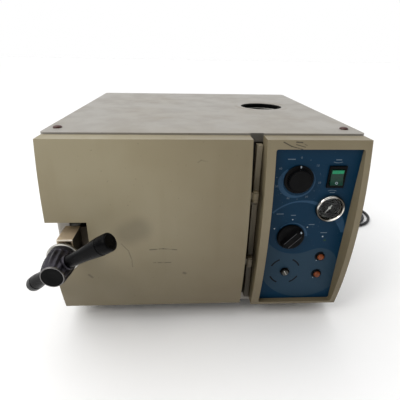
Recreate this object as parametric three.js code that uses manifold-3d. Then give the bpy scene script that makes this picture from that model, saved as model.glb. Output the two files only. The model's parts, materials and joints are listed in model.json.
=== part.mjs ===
// Benchtop steam autoclave with a hinged front door, in millimetres.
// X runs to the machine's right as seen from the front, Y to its back and Z up from the table.
// While it is built, X = 0 is the cabinet's centre plane, Y = 0 its front face and Z = 0 the table.
import * as THREE from 'three';
import Module from 'manifold-3d';
import { mergeVertices } from 'three/addons/utils/BufferGeometryUtils.js';

const wasm = await Module();
wasm.setup();

// ---------------------------------------------------------------- driving dimensions
const GAP = 0.3; // between pieces that touch
const SHEET = 1.5; // cabinet sheet metal

const CABINET = { width: 440, depth: 423, top: 305, bottom: 20, corner: 7, flange: 20 };
const PAN = { bottom: 18, thick: 2, lip: 14, margin: 2.2, corner: 6 };
const FOOT = { radius: 14, height: 17.7, x: 178, front: 42, rear: 382 };

// Both front covers share one bowed side profile, an arc seen from the side.
const BOW = { radius: 590, apexY: -41, apexZ: 172, backY: -1.5, top: 302.5 };
const COVER_WALL = 3;
const DOOR_COVER = { left: -217, right: 59, bottom: 34 };
const FASCIA = { left: 77.5, right: 217, bottom: 29 };
const NOTCH = { right: -162, top: 192, low: 143, floor: 85, wallBackY: -12 };

const AXIS = { x: -72, z: 155 }; // centre line of the round chamber
const CHAMBER = { bore: 85, wall: 2.5, flange: 100, front: 3.6, rim: 6, length: 334 };
const HINGE = { x: 66.5, y: -33, pin: 2.5, knuckle: 4.5, levels: [116, 222], height: 10 };
const POST = { left: 68.5, right: 76.5, front: -9, bottom: 32, top: 291 };

const CLOSER = { x: -189, z: 155, collarY: -65, hubY: -71, capY: -108 }; // closing device's axis
const CLEVIS = { shift: 2, half: 10.5, frontY: -60, backY: -22, rise: 22, drop: 14 };
const GRIP = { centreY: -89, seat: 10.5, root: 8 };
// Each grip leans out of the handle's plane by tilt and is turned round its axis by turn, in degrees.
const GRIPS = {
  right: { length: 90, end: 11.7, tilt: 11.6, turn: 33.2 },
  left: { length: 78, end: 10.4, tilt: 22.7, turn: 43.9 },
};

const PANEL = { x: 150.5, y: -19, z: 162.3, thick: 2, tilt: 1.8 };
const WINDOW = { left: -61, right: 58, low: -128.3, high: 128.2, corner: 3 }; // from the panel's centre
const TIMER = { x: -23.8, y: 84.4, radius: 20.4 };
const VALVE = { x: -22.5, y: -8, radius: 20.4, pointer: 48 };
const SPINDLE = { x: -22.5, y: -73, radius: 5, slot: -60 };
const ROCKER = { x: 28.4, y: 88.3, bezelWidth: 24.5, bezelHeight: 32, width: 17.8, height: 22 };
const GAUGE = { x: 28.2, y: 40, radius: 20.8, zero: 146 };
const LAMP = { x: 30.2, levels: [-45.4, -78.7], radius: 6 };

const FILLER = { x: 124.7, y: 234, radius: 40 };
const TANK = { left: 44, right: 208, front: 112, rear: 414, bottom: 206, top: 296, wall: 2 };

const CORD = { diameter: 7, exitX: 150, exitZ: 46, reliefLength: 26 };
const LOOPS = { x: 400, y: 345, radius: 70, turns: 2.62, shrink: 30, drift: 7 }; // the cord's flat spiral
const PLUG = { x: 135, y: 550, z: 12.2, relief: 22, body: 44, pins: 19, spacing: 19 };

// ---------------------------------------------------------------- solids
function toManifold(geometry) {
  const bare = geometry.clone();
  bare.deleteAttribute('normal');
  bare.deleteAttribute('uv');
  const merged = mergeVertices(bare, 1e-4);
  const index = Array.from(merged.index.array);
  const triangles = [];
  for (let i = 0; i < index.length; i += 3) {
    const [a, b, c] = index.slice(i, i + 3);
    if (a !== b && b !== c && a !== c) triangles.push(a, b, c);
  }
  const positions = merged.attributes.position.array;
  if (signedVolume(positions, triangles) < 0) triangles.reverse();
  return new wasm.Manifold(new wasm.Mesh({
    numProp: 3,
    vertProperties: new Float32Array(positions),
    triVerts: new Uint32Array(triangles),
  }));
}

function signedVolume(positions, triangles) {
  const corner = (i) => new THREE.Vector3().fromArray(positions, 3 * triangles[i]);
  let volume = 0;
  for (let i = 0; i < triangles.length; i += 3) {
    volume += corner(i).dot(corner(i + 1).cross(corner(i + 2))) / 6;
  }
  return volume;
}

function toGeometry(manifold) {
  const mesh = manifold.getMesh();
  const geometry = new THREE.BufferGeometry();
  geometry.setAttribute('position', new THREE.BufferAttribute(mesh.vertProperties, 3));
  geometry.setIndex(Array.from(mesh.triVerts));
  return geometry;
}

function cut(base, ...tools) {
  return toGeometry(tools.reduce((solid, tool) => solid.subtract(toManifold(tool)), toManifold(base)));
}

function join(base, ...others) {
  return toGeometry(others.reduce((solid, other) => solid.add(toManifold(other)), toManifold(base)));
}

// A box between two corners.
function block(x0, x1, y0, y1, z0, z1) {
  const box = new THREE.BoxGeometry(x1 - x0, y1 - y0, z1 - z0);
  return box.translate((x0 + x1) / 2, (y0 + y1) / 2, (z0 + z1) / 2);
}

// An outline of [x, y] points, drawn out from z0 to z1.
function plate(outline, z0, z1) {
  const shape = outline instanceof THREE.Shape ? outline : new THREE.Shape(outline.map(([x, y]) =>
    new THREE.Vector2(x, y)));
  const solid = new THREE.ExtrudeGeometry(shape, { depth: z1 - z0, bevelEnabled: false, curveSegments: 6 });
  return solid.translate(0, 0, z0);
}

// An outline of [y, z] points, drawn out from x0 to x1.
function sideProfile(outline, x0, x1) {
  const toSide = new THREE.Matrix4().makeBasis(
    new THREE.Vector3(0, 1, 0), new THREE.Vector3(0, 0, 1), new THREE.Vector3(1, 0, 0));
  return plate(outline, x0, x1).applyMatrix4(toSide);
}

// An outline of [x, z] points, drawn out from y0 to y1.
function frontProfile(outline, y0, y1) {
  return plate(outline, -y1, -y0).rotateX(Math.PI / 2);
}

// A profile of [radius, y] points turned about the Y axis, then carried to x, z.
// A lathed solid faces outwards when its profile runs counter-clockwise.
function turnedY(profile, x = 0, z = 0, segments = 32) {
  const points = profile.map(([radius, y]) => new THREE.Vector2(radius, y));
  if (THREE.ShapeUtils.area(points) < 0) points.reverse();
  return new THREE.LatheGeometry(points, segments).translate(x, 0, z);
}

// A profile of [radius, z] points turned about a vertical axis at x, y.
function turnedZ(profile, x = 0, y = 0, segments = 24) {
  return turnedY(profile, 0, 0, segments).rotateX(Math.PI / 2).translate(x, y, 0);
}

function rodY(radius, x, z, y0, y1, segments = 24) {
  return turnedY([[0, y0], [radius, y0], [radius, y1], [0, y1]], x, z, segments);
}

function rodZ(radius, x, y, z0, z1, segments = 24) {
  return turnedZ([[0, z0], [radius, z0], [radius, z1], [0, z1]], x, y, segments);
}

function roundedRectangle(x0, x1, y0, y1, radius) {
  const shape = new THREE.Shape();
  shape.moveTo(x0 + radius, y0);
  shape.absarc(x1 - radius, y0 + radius, radius, -Math.PI / 2, 0, false);
  shape.absarc(x1 - radius, y1 - radius, radius, 0, Math.PI / 2, false);
  shape.absarc(x0 + radius, y1 - radius, radius, Math.PI / 2, Math.PI, false);
  shape.absarc(x0 + radius, y0 + radius, radius, Math.PI, 1.5 * Math.PI, false);
  return shape;
}

// ---------------------------------------------------------------- materials and nodes
const FINISHES = {
  paint: [0xb9ae98, 0.5, 0.0],
  primer: [0x2b2926, 0.6, 0.0],
  moulding: [0xa79c84, 0.45, 0.0],
  panelFilm: [0x17314c, 0.35, 0.0],
  black: [0x16171a, 0.4, 0.0],
  rubber: [0x1d1c1b, 0.85, 0.0],
  silicone: [0xc9c4b8, 0.7, 0.0],
  steel: [0xa8a9a8, 0.3, 1.0],
  darkSteel: [0x4a4b4a, 0.5, 1.0],
  brass: [0xa8863f, 0.35, 1.0],
  copper: [0xb06a45, 0.35, 1.0],
  wool: [0xd8d3c4, 0.95, 0.0],
  brown: [0x3a241c, 0.35, 0.0],
  glass: [0xdfe8ea, 0.05, 0.0],
  dial: [0x0f1012, 0.5, 0.0],
  white: [0xe8e6e0, 0.5, 0.0],
  amber: [0xd2561e, 0.25, 0.0],
  green: [0x0a6b4c, 0.3, 0.0],
};

const machine = new THREE.Group();
const cordSet = new THREE.Group();
const panel = new THREE.Group();

function addNode(parent, name, geometry, finish) {
  const [color, roughness, metalness] = FINISHES[finish];
  const mesh = new THREE.Mesh(geometry, new THREE.MeshStandardMaterial({ color, roughness, metalness }));
  mesh.name = name;
  parent.add(mesh);
}

// ---------------------------------------------------------------- cabinet
function addCabinetShell() {
  const { width, depth, top, bottom, corner, flange } = CABINET;
  const half = width / 2;
  const skin = plate(roundedRectangle(-half, half, 0, depth, corner), bottom, top);
  const lining = roundedRectangle(SHEET - half, half - SHEET, SHEET, depth - SHEET, corner - SHEET);
  const inside = plate(lining, bottom - 1, top - SHEET);
  const frontAndBack = block(flange - half, half - flange, -1, depth + 1, bottom - 1, top - 12);
  const fillerHole = rodZ(FILLER.radius, FILLER.x, FILLER.y, top - 5, top + 5, 48);
  addNode(machine, 'outer_cover', cut(skin, inside, frontAndBack, fillerHole), 'paint');

  const rearSheet = block(
    flange - half - 5, half - flange + 5, depth - 2 * SHEET - GAP, depth - SHEET - GAP, 33, top - SHEET - 1);
  const cordHole = rodY(6.5, CORD.exitX, CORD.exitZ, depth - 10, depth + 1);
  addNode(machine, 'rear_panel', cut(rearSheet, cordHole), 'paint');

  const frontSheet = block(
    flange - half - 5, half - flange + 5, SHEET + GAP, 2 * SHEET + GAP, 33, top - SHEET - 1);
  const chamberHole = rodY(94, AXIS.x, AXIS.z, -5, 10, 48);
  const panelHole = block(93, 205.5, -5, 10, 42, 284);
  const keeperHole = block(CLOSER.x - 12, CLOSER.x + 12, -5, 10, CLOSER.z - 12, CLOSER.z + 12);
  addNode(machine, 'front_frame', cut(frontSheet, chamberHole, panelHole, keeperHole), 'primer');

  // The closing screw's tip runs freely in this block.
  const keeper = block(CLOSER.x - 13, CLOSER.x + 13, 2 * SHEET + 2 * GAP, 16, CLOSER.z - 20, CLOSER.z + 20);
  const keeperBore = rodY(8.5, CLOSER.x, CLOSER.z, -5, 30);
  addNode(machine, 'keeper_block', cut(keeper, keeperBore), 'darkSteel');
}

function addBase() {
  const { bottom, thick, lip, margin, corner } = PAN;
  const half = CABINET.width / 2 - margin;
  const near = margin;
  const far = CABINET.depth - margin;
  const tray = plate(roundedRectangle(-half, half, near, far, corner), bottom, bottom + lip);
  const hollow = plate(
    roundedRectangle(thick - half, half - thick, near + thick, far - thick, corner - thick),
    bottom + thick, bottom + 2 * lip);
  addNode(machine, 'base_pan', cut(tray, hollow), 'paint');

  const corners = { front_left: [-1, FOOT.front], front_right: [1, FOOT.front],
    rear_left: [-1, FOOT.rear], rear_right: [1, FOOT.rear] };
  for (const [name, [side, y]] of Object.entries(corners)) {
    const profile = [[0, 0], [FOOT.radius - 2, 0], [FOOT.radius, 3], [FOOT.radius - 1, FOOT.height],
      [0, FOOT.height]];
    addNode(machine, `foot_${name}`, turnedZ(profile, side * FOOT.x, y), 'rubber');
  }
}

function addTopPlugs() {
  const z = CABINET.top + GAP;
  for (const [name, x] of [['left', -205], ['right', 201]]) {
    const dome = [[0, z], [6, z], [5.4, z + 1.8], [3.2, z + 2.8], [0, z + 3.2]];
    addNode(machine, `top_plug_${name}`, turnedZ(dome, x, 28, 24), 'brown');
  }
}

// ---------------------------------------------------------------- pressure system
function addChamber() {
  const { bore, wall, flange, front, rim, length } = CHAMBER;
  const back = front + length;
  const outer = bore + wall;
  const vessel = [[0, back - wall], [bore - 9, back - wall - 4], [bore, back - 16], [bore, front],
    [flange, front], [flange, front + rim], [outer, front + rim], [outer, back - 14],
    [outer - 10, back - 4], [0, back]];
  addNode(machine, 'chamber_vessel', turnedY(vessel, AXIS.x, AXIS.z, 40), 'steel');

  const band = [[outer + GAP, 60], [outer + 5, 60], [outer + 5, 270], [outer + GAP, 270]];
  addNode(machine, 'heater_band', turnedY([...band, band[0]], AXIS.x, AXIS.z, 40), 'darkSteel');

  const jacket = [[outer + 5 + GAP, 30], [outer + 17, 30], [outer + 17, 315], [outer + 5 + GAP, 315]];
  addNode(machine, 'insulation_jacket', turnedY([...jacket, jacket[0]], AXIS.x, AXIS.z, 40), 'wool');
}

function addRackAndTrays() {
  const floor = AXIS.z - 58;
  const half = 55;
  const y0 = 20;
  const y1 = 308;
  const levels = [AXIS.z - 36, AXIS.z + 8];
  const ledges = [];
  for (const level of levels) {
    for (const side of [-1, 1]) {
      const wallX = AXIS.x + side * half;
      const innerX = wallX - side * 9;
      ledges.push(block(Math.min(wallX, innerX), Math.max(wallX, innerX), y0, y1, level - 2, level));
    }
  }
  const walls = [-1, 1].map((side) =>
    block(AXIS.x + side * half - 1, AXIS.x + side * half + 1, y0, y1, floor, AXIS.z + 36));
  const base = block(AXIS.x - half - 1, AXIS.x + half + 1, y0, y1, floor, floor + 2);
  addNode(machine, 'tray_rack', join(base, ...walls, ...ledges), 'steel');

  for (const [i, name] of ['lower_tray', 'upper_tray'].entries()) {
    const z = levels[i] + GAP;
    const rim = half - 2;
    const pan = block(AXIS.x - rim, AXIS.x + rim, y0 + 2, y1 - 4, z, z + 13);
    const well = block(AXIS.x - rim + 1.2, AXIS.x + rim - 1.2, y0 + 3.2, y1 - 5.2, z + 1.2, z + 20);
    addNode(machine, name, cut(pan, well), 'steel');
  }
}

function addReservoir() {
  const { left, right, front, rear, bottom, top, wall } = TANK;
  const tank = block(left, right, front, rear, bottom, top);
  const inside = block(left + wall, right - wall, front + wall, rear - wall, bottom + wall, top - wall);
  const mouth = rodZ(FILLER.radius - 2, FILLER.x, FILLER.y, top - 9, top + 9, 48);
  addNode(machine, 'water_reservoir', cut(tank, inside, mouth), 'steel');

  const { x, y, radius } = FILLER;
  const neckTop = CABINET.top - SHEET - GAP;
  const seat = top + GAP;
  const neck = [[radius - 1, seat], [radius + 3, seat], [radius + 3, neckTop], [radius - 1, neckTop]];
  addNode(machine, 'filler_neck', turnedZ([...neck, neck[0]], x, y, 48), 'black');

  const valveX = x + 24;
  const valveY = y + 18;
  const floor = bottom + wall + GAP;
  const body = [[0, floor], [13, floor], [13, floor + 8], [8, floor + 10], [8, floor + 44], [10, floor + 46],
    [10, floor + 54], [4.3, floor + 56], [4.3, floor + 34], [0, floor + 34]];
  addNode(machine, 'safety_valve_body', turnedZ(body, valveX, valveY), 'brass');
  const pullStem = rodZ(2, valveX, valveY, floor + 42, floor + 64, 12);
  const pullRing = new THREE.TorusGeometry(9, 1.6, 6, 16).rotateX(Math.PI / 2)
    .translate(valveX, valveY, floor + 72.5);
  addNode(machine, 'safety_valve_pull', join(pullStem, pullRing), 'steel');
}

function addExhaustPipe() {
  const level = PANEL.z + VALVE.y;
  const valveRear = 66 + GAP;
  const pipeX = PANEL.x + VALVE.x;
  const route = new THREE.CatmullRomCurve3([
    [pipeX, valveRear, level], [pipeX, 200, level], [pipeX, 340, level], [pipeX - 12, 368, level],
    [pipeX - 40, 380, level], [10, 380, level], [-12, 372, level], [-20, 355, level], [-20, 340, level],
  ].map((point) => new THREE.Vector3(...point)), false, 'centripetal');
  const section = new THREE.Shape().absarc(0, 0, 3.2, 0, 2 * Math.PI, false);
  const pipe = new THREE.ExtrudeGeometry(section, { steps: 26, extrudePath: route, curveSegments: 4 });
  addNode(machine, 'exhaust_pipe', toGeometry(toManifold(pipe)), 'copper');
}

// ---------------------------------------------------------------- front covers
function bowY(z) {
  const rise = z - BOW.apexZ;
  return BOW.apexY + BOW.radius - Math.sqrt(BOW.radius ** 2 - rise ** 2);
}

// The covers' side view: the bow in front, straight top, back and bottom.
function bowProfile(bottom, inset, backY) {
  const steps = 16;
  const low = bottom + inset;
  const high = BOW.top - inset;
  const outline = [[backY, low]];
  for (let i = 0; i <= steps; i += 1) {
    const z = low + ((high - low) * i) / steps;
    outline.push([bowY(z) + inset, z]);
  }
  outline.push([backY, high]);
  return outline;
}

// The opening at the door's free edge that leaves the closing device uncovered.
function notchPrism(grow, backY) {
  const { left } = DOOR_COVER;
  const { right, top, low, floor } = NOTCH;
  const slant = grow * Math.SQRT2;
  const outline = [[left - 20, top + grow], [right + grow, top + grow], [right + grow, low - slant],
    [left - 20, floor - slant - 20]];
  return frontProfile(outline, -70, backY);
}

function addDoorCover() {
  const { left, right, bottom } = DOOR_COVER;
  const outer = cut(sideProfile(bowProfile(bottom, 0, BOW.backY), left, right), notchPrism(0, 20));
  const cavity = sideProfile(bowProfile(bottom, COVER_WALL, 10), left + COVER_WALL, right - COVER_WALL);
  const inner = cut(cavity, notchPrism(COVER_WALL, NOTCH.wallBackY));
  const slots = HINGE.levels.map((z) =>
    block(right - 8, right + 5, HINGE.y - 3.5, HINGE.y + 3.5, z - 2, z + HINGE.height + 2));
  const bridgeSlot = block(NOTCH.right - 20, NOTCH.right + 8, BOW.apexY + 4, 20, AXIS.z - 22, NOTCH.top);
  addNode(machine, 'door_cover', cut(outer, inner, ...slots, bridgeSlot), 'moulding');
}

function panelFrontY(z) {
  return PANEL.y - (z - PANEL.z) * Math.tan(THREE.MathUtils.degToRad(PANEL.tilt));
}

function addFascia() {
  const { left, right, bottom } = FASCIA;
  const wall = COVER_WALL;
  const [x0, x1] = [PANEL.x + WINDOW.left, PANEL.x + WINDOW.right];
  const [z0, z1] = [PANEL.z + WINDOW.low, PANEL.z + WINDOW.high];
  const tunnel = [[-70, z0 - wall], [-70, z1 + wall], [panelFrontY(z1) - GAP, z1 + wall],
    [panelFrontY(z0) - GAP, z0 - wall]];
  const outer = sideProfile(bowProfile(bottom, 0, BOW.backY), left, right);
  const cavity = sideProfile(bowProfile(bottom, wall, 10), left + wall, right - wall);
  const inner = cut(cavity, sideProfile(tunnel, x0 - wall, x1 + wall));
  const window = frontProfile(roundedRectangle(x0, x1, z0, z1, WINDOW.corner), -70, 0);
  addNode(machine, 'control_fascia', cut(outer, inner, window), 'moulding');
}

// ---------------------------------------------------------------- hinge
function addHingePost() {
  const { left, right, front, bottom, top } = POST;
  addNode(machine, 'hinge_post', block(left, right, front, SHEET, bottom, top), 'paint');
}

function addHinge(name, level) {
  const { x, y, pin, knuckle, height } = HINGE;
  const seat = level - GAP;
  const tongue = new THREE.Shape();
  tongue.moveTo(x + knuckle, POST.front - 3);
  tongue.lineTo(x - knuckle, POST.front - 3);
  tongue.lineTo(x - knuckle, y);
  tongue.absarc(x, y, knuckle, Math.PI, 2 * Math.PI, false);
  const flange = block(x, POST.right, POST.front - 3.1, POST.front - GAP, seat - 18, seat);
  const hole = rodZ(pin + 0.2, x, y, seat - 9, seat + 9, 16);
  const bracket = join(plate(tongue, seat - 3, seat), flange);
  addNode(machine, `${name}_hinge_bracket`, cut(bracket, hole), 'paint');

  const head = level + height + GAP;
  const pinProfile = [[0, seat - 5], [pin, seat - 5], [pin, head], [4, head], [4, head + 1.6], [0, head + 2]];
  addNode(machine, `${name}_hinge_pin`, turnedZ(pinProfile, x, y, 16), 'paint');
}

// ---------------------------------------------------------------- door
function addDoorPlate() {
  const plateProfile = [[0, -4], [70, -4], [76, -1.5], [92, -1.5], [92, -8.4], [66, -8.4], [60, -7.2],
    [0, -7.2]];
  addNode(machine, 'door_plate', turnedY(plateProfile, AXIS.x, AXIS.z, 40), 'steel');

  const face = CHAMBER.front - GAP;
  const seal = [[79, -1.2], [90, -1.2], [90, face - 1], [87, face], [82, face], [79, face - 1]];
  addNode(machine, 'door_gasket', turnedY([...seal, seal[0]], AXIS.x, AXIS.z, 40), 'silicone');
}

function addDoorBridge() {
  const left = CLOSER.x + 9;
  const right = 50;
  const channel = [[-8.8, 20], [-21.7, 20], [-21.7, -20], [-8.8, -20], [-8.8, -17], [-18.7, -17], [-18.7, 17],
    [-8.8, 17]].map(([y, z]) => [y, z + AXIS.z]);
  const boltHole = rodY(7, AXIS.x, AXIS.z, -30, 0);
  addNode(machine, 'door_bridge', cut(sideProfile(channel, left, right), boltHole), 'darkSteel');

  const bolt = [[0, -7.5], [6, -7.5], [6, -22], [13, -22], [13, -28], [10, -30], [0, -30]];
  addNode(machine, 'centre_bolt', turnedY(bolt, AXIS.x, AXIS.z, 24), 'steel');

  // The hinge arm lies on the bridge's front and carries a knuckle at each level.
  const { x, y, pin, knuckle, height, levels } = HINGE;
  const upright = block(18, 49, -25, -22, levels[0] - 4, levels[1] + height + 4);
  const lugs = [];
  const bores = [];
  for (const z of levels) {
    lugs.push(block(46, 49, y - 1.5, -22, z, z + height));
    lugs.push(block(46, x, y - 1.5, y + 1.5, z, z + height));
    lugs.push(rodZ(knuckle, x, y, z, z + height, 24));
    bores.push(rodZ(pin + 0.25, x, y, z - 5, z + height + 5, 16));
  }
  addNode(machine, 'hinge_arm', cut(join(upright, ...lugs), ...bores), 'paint');
}

// A steel clevis on the bridge's free end, through which the closing screw passes.
function addClevis() {
  const { half, frontY, backY, rise, drop } = CLEVIS;
  const x = CLOSER.x + CLEVIS.shift;
  const { z } = CLOSER;
  const top = z + rise;
  const roof = block(x - half, x + half, frontY, backY, top - 3, top);
  const cheek = [[backY, top], [backY, z - drop], [frontY + 12, z - drop]];
  for (let i = 1; i <= 6; i += 1) {
    const angle = (Math.PI / 12) * i;
    cheek.push([frontY + 12 - 12 * Math.sin(angle), z - drop + 12 - 12 * Math.cos(angle)]);
  }
  cheek.push([frontY, top]);
  const cheeks = [x - half, x + half - 2].map((x0) => sideProfile(cheek, x0, x0 + 2));
  const back = block(x - half, x + 24, backY - 3, backY, z - drop, top);
  const clear = rodY(7.5, CLOSER.x, z, backY - 4, backY + 1);
  addNode(machine, 'closing_clevis', cut(join(roof, ...cheeks, back), clear), 'steel');
}

// ---------------------------------------------------------------- closing device
function addClosingDevice() {
  const { x, z, collarY, hubY, capY } = CLOSER;
  const collar = [[7.2, collarY], [19, collarY], [21.4, collarY - 2], [21.4, hubY + GAP], [7.2, hubY + GAP]];
  addNode(machine, 'thrust_collar', turnedY([...collar, collar[0]], x, z), 'steel');

  const hubLength = hubY - capY;
  const hubProfile = [[7.2, hubY], [18.8, hubY], [18.8, hubY - 0.25 * hubLength],
    [16.6, hubY - 0.7 * hubLength], [14, capY], [7.2, capY]];
  const socket = [[0, 0], [GRIP.root + GAP, 0], [GRIP.root + GAP, 30], [0, 30]];
  const sockets = [alongGrip(socket, 'right'), alongGrip(socket, 'left')];
  addNode(machine, 'closing_hub', cut(turnedY([...hubProfile, hubProfile[0]], x, z), ...sockets), 'black');

  const screw = [[0, 12], [4, 12], [6.2, 8], [6.2, hubY - 8], [0, hubY - 8]];
  addNode(machine, 'closing_screw', turnedY(screw, x, z, 24), 'steel');

  const cap = [[0, capY - 1.2], [11.4, capY - 1.2], [12.2, capY - 2.6], [13.6, capY - 2.6], [14, capY - GAP],
    [0, capY - GAP]];
  addNode(machine, 'hub_cap', turnedY(cap, x, z, 32), 'black');

  const { root, seat } = GRIP;
  for (const [side, { length, end }] of Object.entries(GRIPS)) {
    const grip = [[0, seat], [root, seat], [root, 24], [end, length - 16], [end, length - 3],
      [end - 2, length], [0, length]];
    addNode(machine, `${side}_grip`, alongGrip(grip, side), 'black');
  }
}

// The way from the hub's axis out along a grip: the right one leans forwards, the left one back.
function gripDirection(side) {
  const tilt = THREE.MathUtils.degToRad(GRIPS[side].tilt);
  const turn = THREE.MathUtils.degToRad(GRIPS[side].turn);
  const outward = new THREE.Vector3(
    Math.cos(tilt) * Math.cos(turn), -Math.sin(tilt), Math.cos(tilt) * Math.sin(turn));
  return side === 'right' ? outward : outward.negate();
}

// A profile of [radius, distance] points turned about a grip's centre line.
function alongGrip(profile, side) {
  const direction = gripDirection(side);
  const turn = new THREE.Quaternion().setFromUnitVectors(new THREE.Vector3(0, 1, 0), direction);
  return turnedY(profile, 0, 0, 24).applyQuaternion(turn).translate(CLOSER.x, GRIP.centreY, CLOSER.z);
}

// ---------------------------------------------------------------- control panel
// Panel pieces are made face up: X across the panel, Y up it and Z out of its face.
function addPanelPlate() {
  const { left, right, low, high } = WINDOW;
  const film = block(left - 2, right + 2, low - 2, high + 2, -PANEL.thick, 0);
  const holes = [
    rodZ(3.8, TIMER.x, TIMER.y, -9, 9, 16), rodZ(3.8, VALVE.x, VALVE.y, -9, 9, 16),
    rodZ(2.6, SPINDLE.x, SPINDLE.y, -9, 9, 16), rodZ(17.5, GAUGE.x, GAUGE.y, -9, 9, 32),
    block(ROCKER.x - 11.2, ROCKER.x + 11.2, ROCKER.y - 13.2, ROCKER.y + 13.2, -9, 9),
    ...LAMP.levels.map((y) => rodZ(4.8, LAMP.x, y, -9, 9, 16))];
  addNode(panel, 'control_panel', cut(film, ...holes), 'panelFilm');
}

function addTimer() {
  const { x, y, radius } = TIMER;
  addNode(panel, 'timer_unit', block(x - 24, x + 24, y - 26, y + 26, -46, -PANEL.thick - 0.6), 'darkSteel');
  const knob = [[0, -2.3], [3, -2.3], [3, 0.6], [radius, 0.6], [radius, 2.8], [radius - 3.8, 3.4],
    [radius - 4.6, 11], [radius - 5.6, 12], [0, 12]];
  const pointer = block(x - 1, x + 1, y + radius - 5, y + radius - 0.4, 2, 3.6);
  addNode(panel, 'timer_knob', join(turnedZ(knob, x, y, 40), pointer), 'black');
}

function addFunctionValve() {
  const { x, y, radius } = VALVE;
  addNode(panel, 'function_valve', block(x - 22, x + 22, y - 20, y + 20, -82, -PANEL.thick - 0.6), 'brass');
  const skirt = [[0, -2.3], [3, -2.3], [3, 0.6], [radius, 0.6], [radius, 3.4], [radius - 2, 5.2], [0, 5.2]];
  const bar = roundedRectangle(1 - radius, radius - 1, -5.8, 5.8, 5.7);
  const ridge = plate(bar, 5, 13).rotateZ(THREE.MathUtils.degToRad(VALVE.pointer)).translate(x, y, 0);
  addNode(panel, 'valve_knob', join(turnedZ(skirt, x, y, 40), ridge), 'black');
}

function addThermostat() {
  const { x, y, radius, slot } = SPINDLE;
  const unit = block(x - 16, x + 16, y - 18, y + 18, -34, -PANEL.thick - 0.6);
  addNode(panel, 'thermostat_unit', unit, 'darkSteel');
  const stem = [[0, -2.3], [2.2, -2.3], [2.2, 0.6], [radius, 0.6], [radius, 5.4], [radius - 1, 6.2],
    [0, 6.2]];
  const groove = block(-9, 9, -0.7, 0.7, 4.8, 9).rotateZ(THREE.MathUtils.degToRad(slot)).translate(x, y, 0);
  addNode(panel, 'thermostat_spindle', cut(turnedZ(stem, x, y, 24), groove), 'steel');
}

function addRocker() {
  const { x, y, bezelWidth, bezelHeight, width, height } = ROCKER;
  const halfWide = bezelWidth / 2;
  const halfHigh = bezelHeight / 2;
  const face = block(x - halfWide, x + halfWide, y - halfHigh, y + halfHigh, GAP, 3);
  const box = block(x - 10.9, x + 10.9, y - 12.9, y + 12.9, -26, 1);
  const wellWide = width / 2 + 0.6;
  const wellHigh = height / 2 + 0.7;
  const well = block(x - wellWide, x + wellWide, y - wellHigh, y + wellHigh, -16, 9);
  addNode(panel, 'rocker_frame', cut(join(face, box), well), 'black');

  // The rocker's two facets meet in a shallow valley on its tilt axis; its lower half stands proud at rest.
  const reach = height / 2;
  const profile = [[-6.5, -5.5], [-reach, 1], [-reach, 6.2], [0, 3.2], [reach, 3.6], [reach, 1], [6.5, -5.5]];
  const rocker = sideProfile(profile, -width / 2, width / 2).translate(x, y, 0);
  addNode(panel, 'power_rocker', rocker, 'green');
}

function addGauge() {
  const { x, y, radius } = GAUGE;
  const canProfile = [[0, -22], [17, -22], [17, 0.8], [15.8, 0.8], [15.8, -20], [0, -20]];
  addNode(panel, 'gauge_case', turnedZ(canProfile, x, y), 'darkSteel');
  const ring = [[17.6, GAP], [radius, GAP], [radius, 5], [radius - 1.2, 6.2], [radius - 3, 6.2],
    [radius - 3.6, 4.6], [16.7, 1.1], [17.6, 1.1]];
  addNode(panel, 'gauge_bezel', turnedZ([...ring, ring[0]], x, y, 40), 'steel');
  addNode(panel, 'gauge_dial', rodZ(15.4, x, y, -2, -0.8, 32), 'dial');
  addNode(panel, 'gauge_lens', rodZ(16.2, x, y, 3, 4.2, 32), 'glass');

  const blade = plate([[-1.1, -5.5], [1.1, -5.5], [0.4, 12], [-0.4, 12]], 0.4, 1);
  const boss = rodZ(1.9, 0, 0, -0.5, 1.8, 16);
  const needle = join(blade, boss).rotateZ(THREE.MathUtils.degToRad(GAUGE.zero));
  addNode(panel, 'gauge_needle', needle.translate(x, y, 0), 'white');
}

function addLamps() {
  const { x, levels, radius } = LAMP;
  for (const [i, name] of ['upper', 'lower'].entries()) {
    const lens = [[0, -14], [4.5, -14], [4.5, GAP], [radius, GAP], [radius, 2.2], [radius - 2, 4.6],
      [0, 5.4]];
    addNode(panel, `${name}_lamp`, turnedZ(lens, x, levels[i], 24), 'amber');
  }
}

// ---------------------------------------------------------------- mains lead
// From the strain relief down to the table, round a flat spiral beside the machine, out over it and back.
function cordRoute() {
  const { exitX, exitZ, diameter, reliefLength } = CORD;
  const rest = diameter / 2 + 0.2;
  const points = [
    [exitX, CABINET.depth + reliefLength + GAP, exitZ], [exitX, 469, exitZ - 1.5], [151.5, 488, exitZ - 9],
    [157, 505, 25.5], [172, 518, 14.5], [194, 520, 7.5], [220, 509, rest + 0.6], [250, 490, rest],
    [293, 463, rest], [340, 438, rest],
  ];
  const steps = 39;
  for (let i = 0; i <= steps; i += 1) {
    const share = i / steps;
    const angle = THREE.MathUtils.degToRad(80) - 2 * Math.PI * LOOPS.turns * share;
    const radius = LOOPS.radius - LOOPS.shrink * share;
    const x = LOOPS.x - LOOPS.drift * share + radius * Math.cos(angle);
    const y = LOOPS.y + radius * Math.sin(angle);
    points.push([x, y, rest + 50 * Math.max(0, share - 0.86)]);
  }
  points.push(
    [344, 344, rest + 8.4], [325, 364, rest + 8.4], [303, 382, rest + 4.5], [281, 403, rest + 0.6],
    [263, 432, rest + 0.8], [252, 462, rest + 4.5], [243, 489, rest + 8.6], [230, 516, rest + 7.6],
    [208, 537, rest + 2.5], [180, 548, rest + 1.5], [155, 550, rest + 6],
    [PLUG.x, PLUG.y, PLUG.z]);
  return points.map((point) => new THREE.Vector3(...point));
}

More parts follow.
